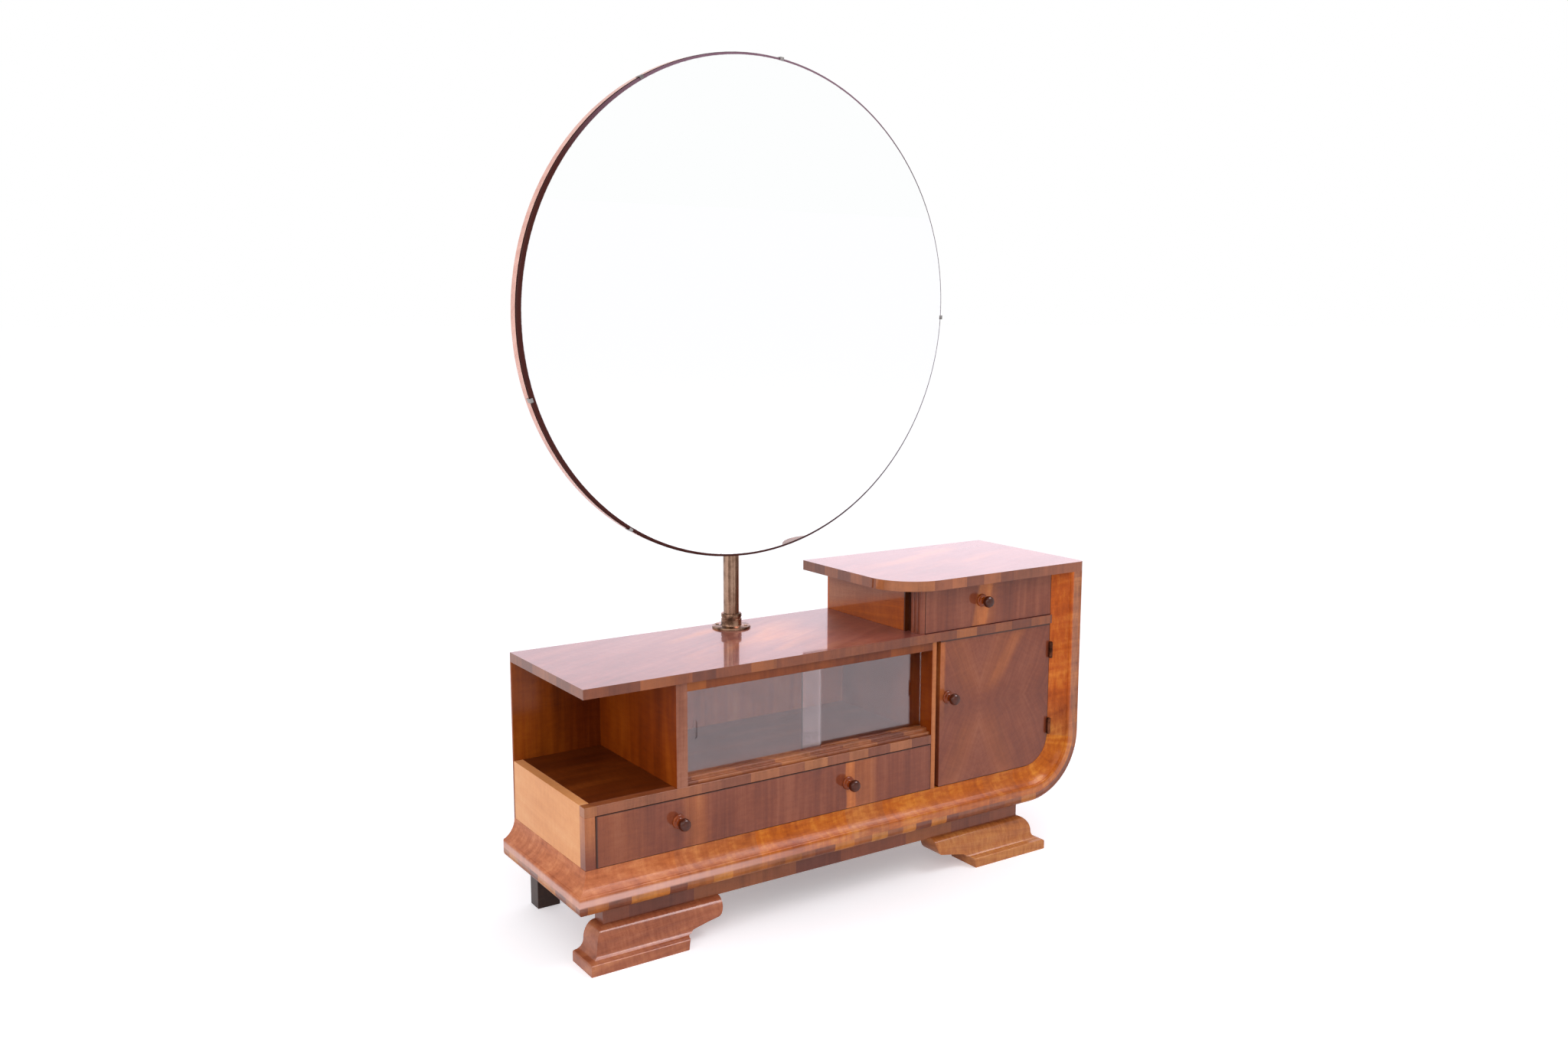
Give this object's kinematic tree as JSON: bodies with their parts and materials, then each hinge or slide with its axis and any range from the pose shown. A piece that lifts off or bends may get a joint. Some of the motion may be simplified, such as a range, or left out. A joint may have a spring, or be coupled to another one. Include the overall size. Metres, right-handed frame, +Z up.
{
  "type": "dressing table",
  "caption": "Low dressing table with a raised right cupboard in a curved moulded frame, sliding glass panes, drawers, an open niche and a large round mirror on a pole.",
  "frame": {"origin": "on the floor under the front left corner of the body", "axes": "+X right along the front, +Y to the back, +Z up"},
  "size_m": [1.306, 0.385, 1.7756],
  "materials": {
    "veneer_front": "glossy book-matched walnut veneer, purple brown",
    "veneer_frame": "glossy figured walnut, orange brown",
    "veneer_light": "satin light orange veneer",
    "polished_top": "high gloss walnut",
    "foot_wood": "glossy walnut mouldings",
    "dark_wood": "dark stained wood",
    "inner_wood": "dark red brown stained wood",
    "drawer_wood": "unfinished pale wood",
    "pole_metal": "dull brown bronzed metal",
    "mirror_rim_wood": "pink brown veneered edge",
    "knob_wood": "turned dark glossy wood",
    "brass": "aged brass",
    "steel": "plain steel",
    "pane_glass": "polished glass",
    "mirror_silver": "silvered glass"
  },
  "bodies": {
    "carcass": {"curved_front_frame": "veneer_frame", "base_left_moulding": "veneer_frame", "base_back_rail": "dark_wood", "base_bearers": "dark_wood", "base_floor": "inner_wood", "curved_side_panel": "veneer_front", "plinth_rail": "veneer_frame", "front_foot_left": "foot_wood", "front_foot_right": "foot_wood", "rear_legs": "dark_wood", "left_side_panel": "veneer_light", "left_stile": "veneer_front", "shelf_rail": "veneer_frame", "shelf_board": "inner_wood", "drawer_guide": "drawer_wood", "low_top": "polished_top", "niche_partition": "veneer_frame", "cupboard_divider": "veneer_frame", "door_stop": "inner_wood", "cupboard_wall": "inner_wood", "glass_upper_track": "veneer_frame", "glass_lower_track": "veneer_frame", "back_boards": "inner_wood", "upper_side_panel": "veneer_frame", "corner_post": "veneer_front", "upper_slab": "polished_top", "hinge_frame_leaves": "brass", "hinge_pins": "brass", "hinge_frame_screws": "brass", "door_catch": "brass", "pole": "pole_metal", "pole_flange": "pole_metal", "flange_screws": "brass", "pole_stop_ring": "brass"},
    "lower_drawer": {"lower_drawer_front": "veneer_front", "lower_drawer_sides": "drawer_wood", "lower_drawer_back": "drawer_wood", "lower_drawer_bottom": "drawer_wood", "lower_drawer_knobs": "knob_wood", "lower_drawer_knob_screws": "steel"},
    "upper_drawer": {"upper_drawer_front": "veneer_front", "upper_drawer_sides": "drawer_wood", "upper_drawer_back": "drawer_wood", "upper_drawer_bottom": "drawer_wood", "upper_drawer_knob": "knob_wood", "upper_drawer_knob_screw": "steel"},
    "door": {"door_panel": "veneer_front", "hinge_door_leaves": "brass", "hinge_door_screws": "brass", "door_knob": "knob_wood", "door_knob_screw": "steel", "door_catch_tongue": "brass"},
    "left_pane": {"left_glass_pane": "pane_glass"},
    "right_pane": {"right_glass_pane": "pane_glass"},
    "mirror_arm": {"mirror_swivel_arm": "brass", "mirror_tilt_pin": "brass"},
    "mirror": {"mirror_plate": "brass", "mirror_backboard": "mirror_rim_wood", "mirror_glass": "mirror_silver", "mirror_clips": "steel"}
  },
  "joints": [
    {"name": "lower_drawer_slide", "type": "slide", "parent": "carcass", "child": "lower_drawer", "axis": [0, -1, 0], "range_m": [0, 0.22]},
    {"name": "upper_drawer_slide", "type": "slide", "parent": "carcass", "child": "upper_drawer", "axis": [0, -1, 0], "range_m": [0, 0.22]},
    {"name": "door_hinge", "type": "hinge", "parent": "carcass", "child": "door", "pos_m": [1.1995, -0.0048, 0.3635], "axis": [0, 0, 1], "range_deg": [0, 110]},
    {"name": "left_pane_slide", "type": "slide", "parent": "carcass", "child": "left_pane", "axis": [1, 0, 0], "range_m": [0, 0.275]},
    {"name": "right_pane_slide", "type": "slide", "parent": "carcass", "child": "right_pane", "axis": [-1, 0, 0], "range_m": [0, 0.295]},
    {"name": "mirror_swivel", "type": "hinge", "parent": "carcass", "child": "mirror_arm", "pos_m": [0.507, 0.296, 1.25], "axis": [0, 0, 1], "range_deg": [-30, 30]},
    {"name": "mirror_tilt", "type": "hinge", "parent": "mirror_arm", "child": "mirror", "pos_m": [0.507, 0.257, 1.25], "axis": [1, 0, 0], "range_deg": [-12, 0.8]}
  ]
}
